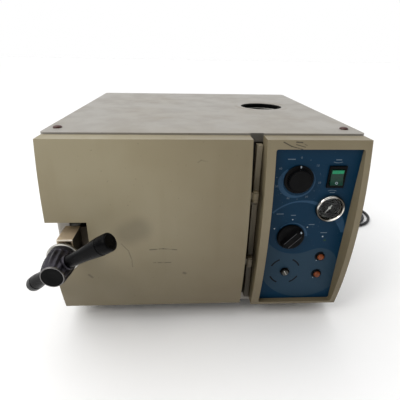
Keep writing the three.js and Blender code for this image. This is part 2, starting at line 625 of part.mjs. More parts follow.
function addCord() {
  const { diameter, exitX, exitZ, reliefLength } = CORD;
  const back = CABINET.depth;
  const relief = [[0, back - 8], [6.2, back - 8], [6.2, back + GAP], [10, back + GAP], [10, back + 5],
    [7, back + 7], [4.6, back + reliefLength], [0, back + reliefLength]];
  addNode(machine, 'cord_gland', turnedY(relief, exitX, exitZ, 24), 'black');

  const route = new THREE.CatmullRomCurve3(cordRoute(), false, 'centripetal');
  const section = new THREE.Shape().absarc(0, 0, diameter / 2, 0, 2 * Math.PI, false);
  const tube = new THREE.ExtrudeGeometry(section, { steps: 80, extrudePath: route, curveSegments: 5 });
  addNode(cordSet, 'power_cord', toGeometry(toManifold(tube)), 'rubber');
}

// The plug lies flat behind the machine, its pins pointing away from the cord.
function addPlug() {
  const { x, y, z, relief, body, pins, spacing } = PLUG;
  const sleeve = turnedY([[0, 1.2], [4.6, 1.2], [6.5, relief + 2], [0, relief + 2]], 0, 0, 16);
  const end = relief + body;
  const profile = [[0, relief], [8, relief], [12, relief + 14], [12, end - 2], [11, end], [0, end]];
  const shell = turnedY(profile, 0, 0, 32).scale(1.4, 1, 1);
  const prongs = [-1, 1].map((side) => rodY(2.4, (side * spacing) / 2, 0, end - 1, end + pins, 12));
  const plug = join(sleeve, shell, ...prongs).rotateZ(Math.PI / 2);
  addNode(cordSet, 'power_plug', plug.translate(x, y, z), 'black');
}

// ---------------------------------------------------------------- assembly
addCabinetShell();
addBase();
addTopPlugs();
addChamber();
addRackAndTrays();
addReservoir();
addExhaustPipe();
addDoorCover();
addFascia();
addHingePost();
addHinge('lower', HINGE.levels[0]);
addHinge('upper', HINGE.levels[1]);
addDoorPlate();
addDoorBridge();
addClevis();
addClosingDevice();
addPanelPlate();
addTimer();
addFunctionValve();
addThermostat();
addRocker();
addGauge();
addLamps();
addCord();
addPlug();

panel.position.set(PANEL.x, PANEL.y, PANEL.z);
panel.rotation.x = Math.PI / 2 + THREE.MathUtils.degToRad(PANEL.tilt);
machine.add(panel);

// The origin is the middle of the machine's footprint, on the table, leaving out the mains lead.
const model = new THREE.Group();
model.add(machine);
const extent = new THREE.Box3().setFromObject(machine, true);
const centre = extent.getCenter(new THREE.Vector3());
machine.add(cordSet);
model.position.set(-centre.x, -centre.y, -extent.min.z);

export default model;
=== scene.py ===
"""Looks of a benchtop steam autoclave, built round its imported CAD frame."""
import json
import math

import bmesh
import bpy
from mathutils import Matrix, Vector


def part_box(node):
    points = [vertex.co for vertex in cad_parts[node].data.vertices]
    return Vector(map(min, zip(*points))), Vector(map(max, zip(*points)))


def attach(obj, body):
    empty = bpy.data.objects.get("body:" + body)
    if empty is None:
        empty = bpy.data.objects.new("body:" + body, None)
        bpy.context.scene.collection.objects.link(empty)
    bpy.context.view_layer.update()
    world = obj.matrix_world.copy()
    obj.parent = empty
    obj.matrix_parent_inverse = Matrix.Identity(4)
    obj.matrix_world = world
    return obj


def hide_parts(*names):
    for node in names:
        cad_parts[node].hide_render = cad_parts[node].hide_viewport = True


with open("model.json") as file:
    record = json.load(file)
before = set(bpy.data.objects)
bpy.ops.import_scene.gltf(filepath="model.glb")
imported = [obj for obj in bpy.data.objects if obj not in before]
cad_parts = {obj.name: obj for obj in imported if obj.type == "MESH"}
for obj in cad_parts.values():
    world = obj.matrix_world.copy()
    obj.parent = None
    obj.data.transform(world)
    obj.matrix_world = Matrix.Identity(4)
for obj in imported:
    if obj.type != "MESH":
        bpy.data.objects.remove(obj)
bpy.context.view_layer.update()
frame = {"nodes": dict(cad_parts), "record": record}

MM = 0.001

# ------------------------------------------------------------------ the frame's own places
CABINET_LOW, CABINET_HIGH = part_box("outer_cover")
CENTRE_X = (CABINET_LOW.x + CABINET_HIGH.x) / 2
FRONT_Y = CABINET_LOW.y
DEPTH = (CABINET_HIGH.y - CABINET_LOW.y) / MM
TOP = CABINET_HIGH.z / MM


def place(x, y, z):
    """A point in metres, from millimetres right of the centre, behind the front face and above the table."""
    return Vector((CENTRE_X + x * MM, FRONT_Y + y * MM, z * MM))


# Driving dimensions in millimetres, as the CAD model has them.
CLOSER = {"x": -189, "z": 155, "collar": 65, "hub": 71, "cap": 108}
CLEVIS = {"shift": 2, "half": 10.5, "forward": 60, "rise": 22}
GRIP = {"forward": 89, "root": 8}
GRIPS = {
    "right": {"length": 90, "end": 11.7, "tilt": 11.6, "turn": 33.2},
    "left": {"length": 78, "end": 10.4, "tilt": 22.7, "turn": 43.9},
}
PANEL = {"x": 150.5, "y": -19, "z": 162.3, "tilt": 1.8}
TIMER = (-23.8, 84.4)
VALVE = (-22.5, -8)
VALVE_POINTER = 48
SPINDLE = (-22.5, -73)
SPINDLE_SLOT = -60
ROCKER = (28.4, 88.3)
GAUGE = (28.2, 40)
GAUGE_ZERO = 146
LAMPS = ((30.2, -45.4), (30.2, -78.7))
FILLER = (124.7, 234)
TOP_PLUGS = {"left": (-205, 28), "right": (201, 28)}
FEET = {
    "front_left": (-178, 42), "front_right": (178, 42),
    "rear_left": (-178, 382), "rear_right": (178, 382),
}
CORD = {"diameter": 7, "exit_x": 150, "exit_z": 46, "relief": 26}
LOOPS = {"x": 400, "y": 345, "radius": 70, "turns": 2.62, "shrink": 30, "drift": 7}
PLUG = {"x": 135, "y": 550, "z": 12.2, "end": 66, "pins": 19, "spacing": 19}

PANEL_FRAME = (Matrix.Translation(place(PANEL["x"], PANEL["y"], PANEL["z"]))
               @ Matrix.Rotation(math.radians(90 + PANEL["tilt"]), 4, "X"))
TO_FRONT = Matrix.Rotation(math.pi / 2, 4, "X")  # local Z out of the machine's front
CLOSER_FRAME = Matrix.Translation(place(CLOSER["x"], 0, CLOSER["z"])) @ TO_FRONT
TO_BACK = Matrix(((-1, 0, 0, 0), (0, 0, 1, 0), (0, 1, 0, 0), (0, 0, 0, 1)))  # local Z out of its back


def add(name, data):
    """A new object in the scene."""
    thing = bpy.data.objects.new(name, data)
    bpy.context.scene.collection.objects.link(thing)
    return thing


# ------------------------------------------------------------------ camera
CAMERA = {
    "lens": 29.68, "x": -30.8, "y": -438.2, "rise": 102.2,
    "yaw": 3.116, "pitch": 24.617, "roll": -1.017,
}


def make_camera():
    data = bpy.data.cameras.new("camera")
    data.lens = CAMERA["lens"]
    data.sensor_width = 36
    camera = add("camera", data)
    camera.location = place(CAMERA["x"], CAMERA["y"], TOP + CAMERA["rise"])
    yaw, pitch, roll = (math.radians(CAMERA[key]) for key in ("yaw", "pitch", "roll"))
    ahead = Vector((math.sin(yaw) * math.cos(pitch), math.cos(yaw) * math.cos(pitch), -math.sin(pitch)))
    level = Vector((math.cos(yaw), -math.sin(yaw), 0))
    down = ahead.cross(level)
    right = level * math.cos(roll) + down * math.sin(roll)
    up = right.cross(ahead)
    turn = Matrix((right, up, -ahead)).transposed()
    camera.rotation_euler = turn.to_euler()
    bpy.context.scene.camera = camera


make_camera()


# ------------------------------------------------------------------ materials
def linear(red, green, blue):
    """An sRGB colour, 0 to 255, as linear RGBA."""
    def channel(value):
        value /= 255
        return value / 12.92 if value <= 0.04045 else ((value + 0.055) / 1.055) ** 2.4
    return (channel(red), channel(green), channel(blue), 1)


class Surface:
    """A Principled material with a few short ways to add procedural detail."""

    def __init__(self, name, colour, roughness, metallic=0.0, specular=0.5):
        self.material = bpy.data.materials.new(name)
        self.material.use_nodes = True
        self.tree = self.material.node_tree
        self.shader = self.tree.nodes["Principled BSDF"]
        self.shader.inputs["Base Color"].default_value = colour
        self.shader.inputs["Roughness"].default_value = roughness
        self.shader.inputs["Metallic"].default_value = metallic
        self.shader.inputs["Specular IOR Level"].default_value = specular
        self.colour = colour
        self.roughness = roughness
        self.where = self.node("ShaderNodeTexCoord").outputs["Object"]

    def node(self, kind, inputs=None, **settings):
        """A new shader node with its settings made and its inputs fed."""
        node = self.tree.nodes.new(kind)
        for key, value in settings.items():
            setattr(node, key, value)
        for key, value in (inputs or {}).items():
            self.feed(node.inputs[key], value)
        return node

    def feed(self, socket, value):
        """Sets a constant on a socket, or links another socket to it."""
        if isinstance(value, (int, float, tuple, Vector)):
            socket.default_value = value
        else:
            self.tree.links.new(value, socket)

    def math(self, operation, a, b=0.0):
        return self.node("ShaderNodeMath", {0: a, 1: b}, operation=operation).outputs[0]

    def times(self, a, b):
        return self.math("MULTIPLY", a, b)

    def distance(self, a, b):
        """How far a point lies from the middle, from its two coordinates."""
        return self.math("SQRT", self.math("ADD", self.times(a, a), self.times(b, b)))

    def axes(self):
        """The point's x, y and z in metres, at rest."""
        return self.node("ShaderNodeSeparateXYZ", {0: self.where}).outputs

    def scaled(self, x, y, z):
        return self.node("ShaderNodeMapping", {"Vector": self.where, "Scale": (x, y, z)}).outputs[0]

    def noise(self, scale, detail=4.0, roughness=0.55, where=None, distortion=0.0):
        settings = {"Scale": scale, "Detail": detail, "Roughness": roughness, "Distortion": distortion}
        return self.node("ShaderNodeTexNoise", {"Vector": where or self.where, **settings}).outputs["Fac"]

    def band(self, value, low, high):
        """0 below low, 1 above high, smooth between."""
        ends = {"Value": value, "From Min": low, "From Max": high}
        return self.node("ShaderNodeMapRange", ends, interpolation_type="SMOOTHSTEP").outputs["Result"]

    def mottle(self, scale, detail, low, high):
        """Soft-edged patches of noise: 0 between them, 1 in them."""
        return self.band(self.noise(scale, detail), low, high)

    def mix(self, data_type, share, a, b):
        ends = {"Factor": share, "A": a, "B": b}
        return self.node("ShaderNodeMix", ends, data_type=data_type).outputs["Result"]

    def blend(self, share, colour, strength=1.0):
        """Lays another colour over the base by share times strength."""
        if strength != 1:
            share = self.times(share, strength)
        self.colour = self.mix("RGBA", share, self.colour, colour)
        self.feed(self.shader.inputs["Base Color"], self.colour)
        return self

    def gloss(self, share, roughness):
        """Moves the roughness towards another value by share."""
        self.roughness = self.mix("FLOAT", share, self.roughness, roughness)
        self.feed(self.shader.inputs["Roughness"], self.roughness)
        return self

    def bump(self, height, strength, distance=0.001):
        """Adds to the bumps already there."""
        node = self.node("ShaderNodeBump", {"Strength": strength, "Distance": distance, "Height": height})
        normal = self.shader.inputs["Normal"]
        if normal.is_linked:
            self.feed(node.inputs["Normal"], normal.links[0].from_socket)
        self.feed(normal, node.outputs["Normal"])
        return self

    def stroke(self, start, end, width):
        """A soft line on the front covers between two [x, z] points in millimetres: 1 on it, 0 away."""
        x, _, z = self.axes()
        here = self.node("ShaderNodeCombineXYZ", {0: x, 2: z}).outputs[0]
        first, last = place(start[0], 0, start[1]), place(end[0], 0, end[1])
        first.y = last.y = 0
        run = last - first
        away = self.node("ShaderNodeVectorMath", {0: here, 1: first}, operation="SUBTRACT").outputs[0]
        along = self.node("ShaderNodeVectorMath", {0: away, 1: run / run.length_squared},
                          operation="DOT_PRODUCT").outputs["Value"]
        clamped = self.math("MINIMUM", self.math("MAXIMUM", along, 0.0), 1.0)
        foot = self.node("ShaderNodeVectorMath", {0: run, "Scale": clamped}, operation="SCALE").outputs[0]
        gap = self.node("ShaderNodeVectorMath", {0: away, 1: foot}, operation="DISTANCE").outputs["Value"]
        return self.band(gap, width * MM * 1.4, width * MM * 0.3)


def worn_enamel(name, colour, grime):
    """Stove enamel: orange peel, slight yellowing in patches, specks of dirt and dull handling marks."""
    roughness = 0.42
    surface = Surface(name, colour, roughness, specular=0.4)
    patches = surface.mottle(7, 3, 0.42, 0.68)
    surface.blend(patches, grime, 0.3)
    streaks = surface.band(surface.noise(9, 5, where=surface.scaled(3, 3, 0.35)), 0.52, 0.74)
    surface.blend(streaks, grime, 0.22)
    specks = surface.mottle(330, 2, 0.71, 0.76)
    surface.blend(specks, linear(80, 68, 50), 0.5)
    surface.gloss(surface.mottle(24, 4, 0.35, 0.7), roughness + 0.16)
    surface.bump(surface.noise(900, 2), 0.12, 0.0003)
    return surface


def shade_below(surface, low, high, share, colour):
    """Paints shade on a surface: darker smoothly below a height, in millimetres above the table."""
    _, _, z = surface.axes()
    depth = surface.band(z, high * MM, low * MM)
    return surface.blend(depth, colour, share)


def cabinet_enamel():
    """The cabinet's grey, scratched, worn in a ring round the filler, with painted shade in the gap between
    the covers.
    """
    surface = worn_enamel("cabinet_enamel", linear(146, 142, 135), linear(132, 122, 104))
    streaky = surface.noise(60, 2, where=surface.scaled(1, 14, 1), distortion=0.4)
    scratches = surface.band(streaky, 0.735, 0.75)
    surface.blend(scratches, linear(104, 94, 80), 0.35)
    x, y, _ = surface.axes()
    hole = place(*FILLER, 0)
    reach = surface.distance(surface.math("SUBTRACT", x, hole.x), surface.math("SUBTRACT", y, hole.y))
    ring = surface.times(surface.band(reach, 0.046, 0.049), surface.band(reach, 0.056, 0.051))
    worn = surface.times(ring, surface.mottle(26, 4, 0.45, 0.6))
    surface.blend(worn, linear(112, 96, 72), 0.5)
    # Painted shade: the sheet's front edge is darkened in the gap between the two covers.
    left = surface.band(x, place(56, 0, 0).x, place(62, 0, 0).x)
    right = surface.band(x, place(80, 0, 0).x, place(76, 0, 0).x)
    front = surface.band(y, place(0, 2.4, 0).y, place(0, 1, 0).y)
    gap = surface.times(surface.times(left, right), front)
    surface.blend(gap, linear(44, 41, 34), 0.8)
    return surface.material


def cover_enamel():
    """The covers' beige, with painted shade low down and to the right, scratches, and one soft dark patch on
    the door.
    """
    surface = worn_enamel("cover_enamel", linear(146, 137, 112), linear(126, 113, 84))
    # Painted shade: darker towards the bottom.
    shade_below(surface, 20, 270, 0.62, linear(88, 77, 56))
    # Painted shade: darker towards the right.
    x, _, _ = surface.axes()
    far_side_shade = surface.band(x, place(-130, 0, 0).x, place(80, 0, 0).x)
    surface.blend(far_side_shade, linear(96, 84, 62), 0.5)
    marks = (  # start, end, width, strength
        ((-79, 147.5), (-60, 149), 0.9, 0.7), ((-60, 149), (-41, 147), 0.9, 0.6),
        ((-75, 124.5), (-50, 124.5), 0.9, 0.55), ((-118, 158), (-109, 146), 0.8, 0.4),
        ((-109, 146), (-105.5, 130), 0.8, 0.45), ((-105.5, 130), (-105.5, 117), 0.8, 0.35),
        ((-170, 103), (-166, 98), 2.0, 0.45), ((-31, 104), (-29, 103), 2.4, 0.5),
        ((-12, 274), (-8, 277), 0.8, 0.25), ((-8, 277), (0, 275), 0.8, 0.2),
        ((98.5, 299.8), (109, 294.6), 0.8, 0.85), ((109, 294.6), (124, 290.8), 0.7, 0.85),
        ((115.2, 299.9), (123, 299.4), 0.9, 0.85), ((115.2, 296.8), (127.2, 293.6), 0.6, 0.8),
        ((123, 299), (129.5, 295.6), 0.5, 0.6),
    )
    broken = surface.mottle(160, 3, 0.3, 0.5)
    for start, end, width, strength in marks:
        share = surface.times(surface.stroke(start, end, width), broken)
        surface.blend(share, linear(36, 31, 25), strength)
    surface.blend(surface.stroke((-108, 174), (-93, 181), 19), linear(62, 54, 42), 0.3)
    surface.bump(surface.noise(260, 3), 0.06, 0.0004)
    return surface.material


def black_plastic(name="black_plastic", tone=8, roughness=0.4, grain=0.2, dusty=0.1):
    surface = Surface(name, linear(tone, tone, tone + 1), roughness, specular=0.07)
    dust = surface.mottle(120, 5, 0.55, 0.8)
    surface.blend(dust, linear(64, 60, 56), dusty)
    surface.gloss(surface.mottle(45, 4, 0.4, 0.7), roughness + 0.18)
    surface.bump(surface.noise(1500, 2), grain, 0.0002)
    return surface.material


def brushed_metal(name, colour, roughness, along=(1, 1, 1), tarnish=linear(92, 84, 72), share=0.35):
    surface = Surface(name, colour, roughness, metallic=1.0)
    lines = surface.noise(420, 3, where=surface.scaled(*along))
    surface.gloss(surface.times(lines, 0.8), roughness + 0.25)
    spots = surface.mottle(38, 6, 0.52, 0.78)
    surface.blend(spots, tarnish, share)
    surface.bump(lines, 0.12, 0.0002)
    return surface.material


def soft_rubber(name, tone, roughness=0.78):
    surface = Surface(name, linear(*tone), roughness, specular=0.35)
    bloom = surface.mottle(30, 5, 0.5, 0.75)
    surface.blend(bloom, linear(*(min(255, t + 34) for t in tone)), 0.25)
    surface.bump(surface.noise(800, 3), 0.3, 0.0002)
    return surface.material


def gauge_chrome():
    """Chrome darkened all over to stand in for dark reflections, with painted highlights above on the left
    and below on the right.
    """
    surface = Surface("gauge_chrome", linear(84, 80, 74), 0.1, metallic=1.0)
    x, z = PANEL["x"] + GAUGE[0], PANEL["z"] + GAUGE[1]
    # Painted highlights: two pale strokes on the ring.
    for start, end in (((x - 18, z + 10), (x - 3, z + 20)), ((x + 19, z - 6), (x + 6, z - 19))):
        surface.blend(surface.stroke(start, end, 9), linear(226, 222, 214), 0.9)
    return surface.material


def clevis_steel():
    """Dull forged steel, with painted shade on the side towards the door."""
    surface = Surface("clevis_steel", linear(236, 218, 192), 0.5, metallic=1.0)
    # Painted shade: the flank facing the door is darkened almost to black.
    x, _, _ = surface.axes()
    flank = CLOSER["x"] + CLEVIS["shift"] + CLEVIS["half"]
    inner = surface.band(x, place(flank - 0.4, 0, 0).x, place(flank, 0, 0).x)
    surface.blend(inner, linear(40, 37, 32), 0.94)
    surface.bump(surface.noise(500, 3), 0.1, 0.0002)
    return surface.material


def hinge_enamel(name, tone):
    """The cover's colour with painted shade deepening towards the bottom; a higher tone is paler."""
    surface = worn_enamel(name, linear(tone, tone - 10, tone - 32), linear(tone - 28, tone - 38, tone - 58))
    return shade_below(surface, 30, 290, 0.85, linear(46, 39, 29)).material


def primer():
    """Dull dark grey drawn on the inner front frame as painted shade, with a little dust."""
    surface = Surface("inner_primer", linear(34, 32, 29), 0.7, specular=0.2)
    dust = surface.mottle(30, 5, 0.5, 0.75)
    surface.blend(dust, linear(58, 53, 46), 0.4)
    surface.bump(surface.noise(700, 3), 0.2, 0.0003)
    return surface.material


def clear_plastic(name, colour, depth, glow=0.0):
    """Tinted plastic with a darker inside."""
    surface = Surface(name, linear(*colour), 0.18, specular=0.3)
    deep = surface.mottle(260, 3, 0.35, 0.7)
    surface.blend(deep, linear(*depth), 0.45)
    surface.shader.inputs["Emission Color"].default_value = linear(*colour)
    surface.shader.inputs["Emission Strength"].default_value = glow
    surface.bump(surface.noise(500, 2), 0.08, 0.0003)
    return surface.material


def lens_glass():
    surface = Surface("lens_glass", linear(250, 252, 252), 0.03)
    surface.shader.inputs["Transmission Weight"].default_value = 1.0
    surface.shader.inputs["IOR"].default_value = 1.2
    surface.gloss(surface.mottle(60, 4, 0.55, 0.8), 0.07)
    return surface.material


def wool_blanket():
    surface = Surface("wool_blanket", linear(205, 198, 180), 0.95, specular=0.1)
    surface.shader.inputs["Sheen Weight"].default_value = 0.3
    fibres = surface.noise(240, 6, 0.7)
    surface.blend(fibres, linear(160, 150, 128), 0.4)
    surface.bump(fibres, 0.8, 0.002)
    return surface.material


def printed_ink(name, colour):
    surface = Surface(name, linear(*colour), 0.5, specular=0.12)
    worn = surface.mottle(300, 4, 0.52, 0.72)
    surface.blend(worn, linear(*(int(c * 0.55) for c in colour)), 0.3)
    return surface.material


def panel_film():
    """Navy overlay with a paler slate field that swells up to the lamps."""
    surface = Surface("panel_film", linear(0, 42, 66), 0.45, specular=0.12)
    x, _, z = surface.axes()
    across = surface.times(surface.math("SUBTRACT", x, place(PANEL["x"], 0, 0).x), 1 / MM)
    upward = surface.times(surface.math("SUBTRACT", z, place(0, 0, PANEL["z"]).z), 1 / MM)

    def disc(centre, radius, soft=0.4):
        dx = surface.math("SUBTRACT", across, centre[0])
        dy = surface.math("SUBTRACT", upward, centre[1])
        return surface.band(surface.distance(dx, dy), radius + soft, radius - soft)

    shoulder = surface.math("MAXIMUM", surface.band(across, 13.4, 12.6), disc((27.6, -61.5), 31.3))
    shoulder = surface.math("MAXIMUM", shoulder, surface.band(upward, -61, -62))
    field = surface.times(disc((7.8, -54), 72), shoulder)
    field = surface.times(field, surface.math("SUBTRACT", 1.0, disc((-12.3, 13.2), 53)))
    field = surface.times(field, surface.band(upward, -14, -15))
    surface.blend(field, linear(36, 58, 74), 0.9)
    haze = surface.mottle(18, 4, 0.4, 0.75)
    surface.blend(haze, linear(40, 60, 84), 0.06)
    specks = surface.mottle(420, 2, 0.7, 0.76)
    surface.blend(specks, linear(96, 110, 124), 0.35)
    surface.gloss(haze, 0.5)
    surface.bump(surface.noise(1100, 2), 0.1, 0.0002)
    return surface.material


MATERIALS = {
    "cabinet_paint": cabinet_enamel(),
    "cover_moulding": cover_enamel(),
    # Painted shade: the inner front frame is drawn dark grey.
    "inner_primer": primer(),
    "panel_film": panel_film(),
    "black_plastic": black_plastic(),
    "foot_rubber": soft_rubber("foot_rubber", (24, 23, 22)),
    "cord_jacket": soft_rubber("cord_jacket", (18, 18, 22), 0.5),
    "silicone_seal": soft_rubber("silicone_seal", (186, 176, 158), 0.62),
    "stainless": brushed_metal("stainless", linear(176, 174, 168), 0.26, (1, 0.08, 1)),
    "bezel_chrome": brushed_metal("bezel_chrome", linear(158, 156, 152), 0.08, (1, 1, 1), share=0.3),
    "dark_steel": brushed_metal("dark_steel", linear(84, 84, 80), 0.42, (0.1, 1, 1)),
    "brass": brushed_metal("brass", linear(182, 148, 80), 0.3, (1, 1, 0.2), linear(96, 74, 40)),
    "copper": brushed_metal("copper", linear(184, 112, 78), 0.3, (1, 1, 1), linear(98, 62, 46)),
    "mineral_wool": wool_blanket(),
    "plug_brown": soft_rubber("plug_brown", (70, 38, 32), 0.3),
    "gauge_glass": lens_glass(),
    "gauge_face": black_plastic("gauge_face", 10, 0.5, 0.1),
    "needle_white": printed_ink("needle_white", (206, 206, 200)),
    "lamp_amber": clear_plastic("lamp_amber", (122, 58, 20), (54, 24, 10)),
    "rocker_green": clear_plastic("rocker_green", (2, 52, 38), (1, 30, 22)),
}
# Painted shade: the knuckles get a darker copy of the hinge colour.
HINGE_ENAMEL = hinge_enamel("hinge_enamel", 150)
KNUCKLE_SHADE_ENAMEL = hinge_enamel("knuckle_shade_enamel", 96)
GLOSS_BLACK = black_plastic("gloss_black", 3, 0.26, 0.06, 0.02)
HUB_BLACK = brushed_metal("hub_black", linear(58, 56, 62), 0.34, (1, 1, 1), linear(12, 12, 14), 0.9)
BRIDGE_SHADE_BLACK = black_plastic("bridge_shade_black", 10, 0.6, 0.3, 0.1)
CLEVIS_STEEL = clevis_steel()
CAP_STEEL = brushed_metal("cap_steel", linear(118, 116, 116), 0.24, share=0.2)
GAUGE_CHROME = gauge_chrome()
BAR_EDGE_HIGHLIGHT = brushed_metal("bar_edge_highlight", linear(92, 92, 94), 0.5)
BRIGHT_GREEN = clear_plastic("rocker_window", (8, 132, 88), (4, 92, 62), 0.06)
SLATE_INK = printed_ink("slate_ink", (42, 72, 98))
EDGE_HIGHLIGHT = printed_ink("painted_edge_highlight", (246, 238, 222))
WHITE_INK = printed_ink("white_ink", (172, 184, 194))
DIM_INK = printed_ink("dim_ink", (64, 62, 58))
GREY_INK = printed_ink("grey_ink", (92, 108, 122))
DARK_INK_AND_SHADE = printed_ink("dark_ink_and_shade", (4, 8, 14))

SLOT_OF = {entry["node"]: entry["material_slot"] for entry in frame["record"]["subparts"]}
BODY_OF = {node: body for body, nodes in frame["record"]["behaviour"]["bodies"].items() for node in nodes}
for node_name, node_object in frame["nodes"].items():
    node_object.data.materials.clear()
    node_object.data.materials.append(MATERIALS[SLOT_OF[node_name]])


# ------------------------------------------------------------------ mesh helpers
def finish_piece(name, bm, body, material, slot=None, replaces=(), bevel=0.0, segments=2, sharp=32):
    """Turns a bmesh into a named piece that rides on a body; a material may be given as its slot's name."""
    if isinstance(material, str):
        material, slot = MATERIALS[material], material
    bmesh.ops.recalc_face_normals(bm, faces=bm.faces)
    for face in bm.faces:
        face.smooth = True
    for edge in bm.edges:
        edge.smooth = edge.calc_face_angle(0.0) < math.radians(sharp)
    mesh = bpy.data.meshes.new(name)
    bm.to_mesh(mesh)
    bm.free()
    mesh.materials.append(material)
    piece = add(name, mesh)
    if bevel:
        edge_round = piece.modifiers.new("edge_round", "BEVEL")
        edge_round.width = bevel * MM
        edge_round.segments = segments
        edge_round.limit_method = "ANGLE"
        edge_round.angle_limit = math.radians(sharp)
        edge_round.harden_normals = True
    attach(piece, body)
    if replaces:
        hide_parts(*replaces)
    return piece


def finished(node, bevel, segments=2, sharp=32, name=None, material=None):
    """The CAD node's own shape with its faces joined up and its edges rounded."""
    bm = bmesh.new()
    bm.from_mesh(frame["nodes"][node].data)
    bmesh.ops.remove_doubles(bm, verts=bm.verts, dist=2e-6)
    bmesh.ops.dissolve_limit(bm, angle_limit=math.radians(0.3), verts=bm.verts, edges=bm.edges)
    slot = SLOT_OF[node]
    return finish_piece(name or f"{node}_shape", bm, BODY_OF[node], material or slot, slot, (node,),
                        bevel, segments, sharp)


def lathe(bm, profile, matrix, segments=48, ribs=0, rib_depth=0.0, rib_rows=()):
    """Turns [radius, height] points in millimetres about the local Z axis; ribs swell the rows they name."""
    rings = []
    for row, (radius, height) in enumerate(profile):
        if radius == 0:
            rings.append([bm.verts.new(matrix @ Vector((0, 0, height * MM)))])
            continue
        ring = []
        for step in range(segments):
            angle = 2 * math.pi * step / segments
            swell = rib_depth * math.cos(ribs * angle) if row in rib_rows else 0
            reach = (radius + swell) * MM
            ring.append(bm.verts.new(matrix @ Vector((reach * math.cos(angle), reach * math.sin(angle),
                                                      height * MM))))
        rings.append(ring)
    for low, high in zip(rings, rings[1:]):
        for step in range(segments):
            after = (step + 1) % segments
            if len(low) == 1:
                bm.faces.new((low[0], high[after], high[step]))
            elif len(high) == 1:
                bm.faces.new((low[step], low[after], high[0]))
            else:
                bm.faces.new((low[step], low[after], high[after], high[step]))
    return bm


def prism(bm, outline, low, high, matrix):
    """An outline of [x, y] points in millimetres, drawn out along local Z."""
    bottom = [bm.verts.new(matrix @ Vector((x * MM, y * MM, low * MM))) for x, y in outline]
    top = [bm.verts.new(matrix @ Vector((x * MM, y * MM, high * MM))) for x, y in outline]
    bm.faces.new(list(reversed(bottom)))
    bm.faces.new(top)
    count = len(outline)
    for i in range(count):
        after = (i + 1) % count
        bm.faces.new((bottom[i], bottom[after], top[after], top[i]))
    return bm


def rounded(x0, x1, y0, y1, radius, steps=6):
    """The outline of a rectangle with round corners."""
    corners = (
        (x1 - radius, y0 + radius, -90), (x1 - radius, y1 - radius, 0),
        (x0 + radius, y1 - radius, 90), (x0 + radius, y0 + radius, 180))
    outline = []
    for cx, cy, start in corners:
        for i in range(steps + 1):
            angle = math.radians(start + 90 * i / steps)
            outline.append((cx + radius * math.cos(angle), cy + radius * math.sin(angle)))
    return outline


def crescent(bm, centre, start, end, inner, outer, low, high, matrix, steps=40):
    """A raised arc between two angles in degrees; its radii may be functions of the share run."""
    def at(radius, share):
        angle = math.radians(start + (end - start) * share)
        reach = radius(share) if callable(radius) else radius
        return (centre[0] + reach * math.cos(angle), centre[1] + reach * math.sin(angle))
    sections = []
    for i in range(steps + 1):
        near, far = at(inner, i / steps), at(outer, i / steps)
        corners = ((*near, low), (*far, low), (*far, high), (*near, high))
        sections.append([bm.verts.new(matrix @ (Vector(corner) * MM)) for corner in corners])
    for before, after in zip(sections, sections[1:]):
        for i in range(4):
            j = (i + 1) % 4
            bm.faces.new((before[i], before[j], after[j], after[i]))
    if abs(end - start) < 360:
        bm.faces.new(sections[0])
        bm.faces.new(list(reversed(sections[-1])))
    return bm


def digits(name, text, size, location, matrix, body, material):
    """Raised figures on a dial, centred on a local [x, y] point in millimetres."""
    curve = bpy.data.curves.new(name, "FONT")
    curve.body = text
    curve.size = size * MM
    curve.align_x = "CENTER"
    curve.align_y = "CENTER"
    curve.extrude = 0.04 * MM
    curve.resolution_u = 3
    flat = bpy.data.objects.new(name + "_curve", curve)
    mesh = bpy.data.meshes.new_from_object(flat)
    bpy.data.objects.remove(flat)
    mesh.transform(matrix @ Matrix.Translation(Vector((*location, 0.12)) * MM))
    mesh.materials.append(material)
    piece = add(name, mesh)
    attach(piece, body)
    return piece


def loft(bm, layers, matrix):
    """Joins outlines of equally many [x, y] points, given as (height, outline) pairs, into a closed solid."""
    rings = []
    for height, outline in layers:
        rings.append([bm.verts.new(matrix @ (Vector((x, y, height)) * MM)) for x, y in outline])
    count = len(rings[0])
    for low, high in zip(rings, rings[1:]):
        for i in range(count):
            after = (i + 1) % count
            bm.faces.new((low[i], low[after], high[after], high[i]))
    bm.faces.new(list(reversed(rings[0])))
    bm.faces.new(rings[-1])
    return bm


def turned(name, profile, matrix, body, material, slot=None, replaces=(), segments=48, **ribs):
    """A lathed piece from a profile that starts and ends on its axis."""
    bm = lathe(bmesh.new(), profile, matrix, segments, **ribs)
    return finish_piece(name, bm, body, material, slot, replaces)


def ring(name, profile, matrix, body, material, slot=None, replaces=(), segments=56):
    """A lathed piece whose profile is a closed section."""
    bm = lathe(bmesh.new(), [*profile, profile[0]], matrix, segments)
    bmesh.ops.remove_doubles(bm, verts=bm.verts, dist=1e-6)
    return finish_piece(name, bm, body, material, slot, replaces)


def shift(x, y, z=0.0):
    return Matrix.Translation(Vector((x, y, z)) * MM)


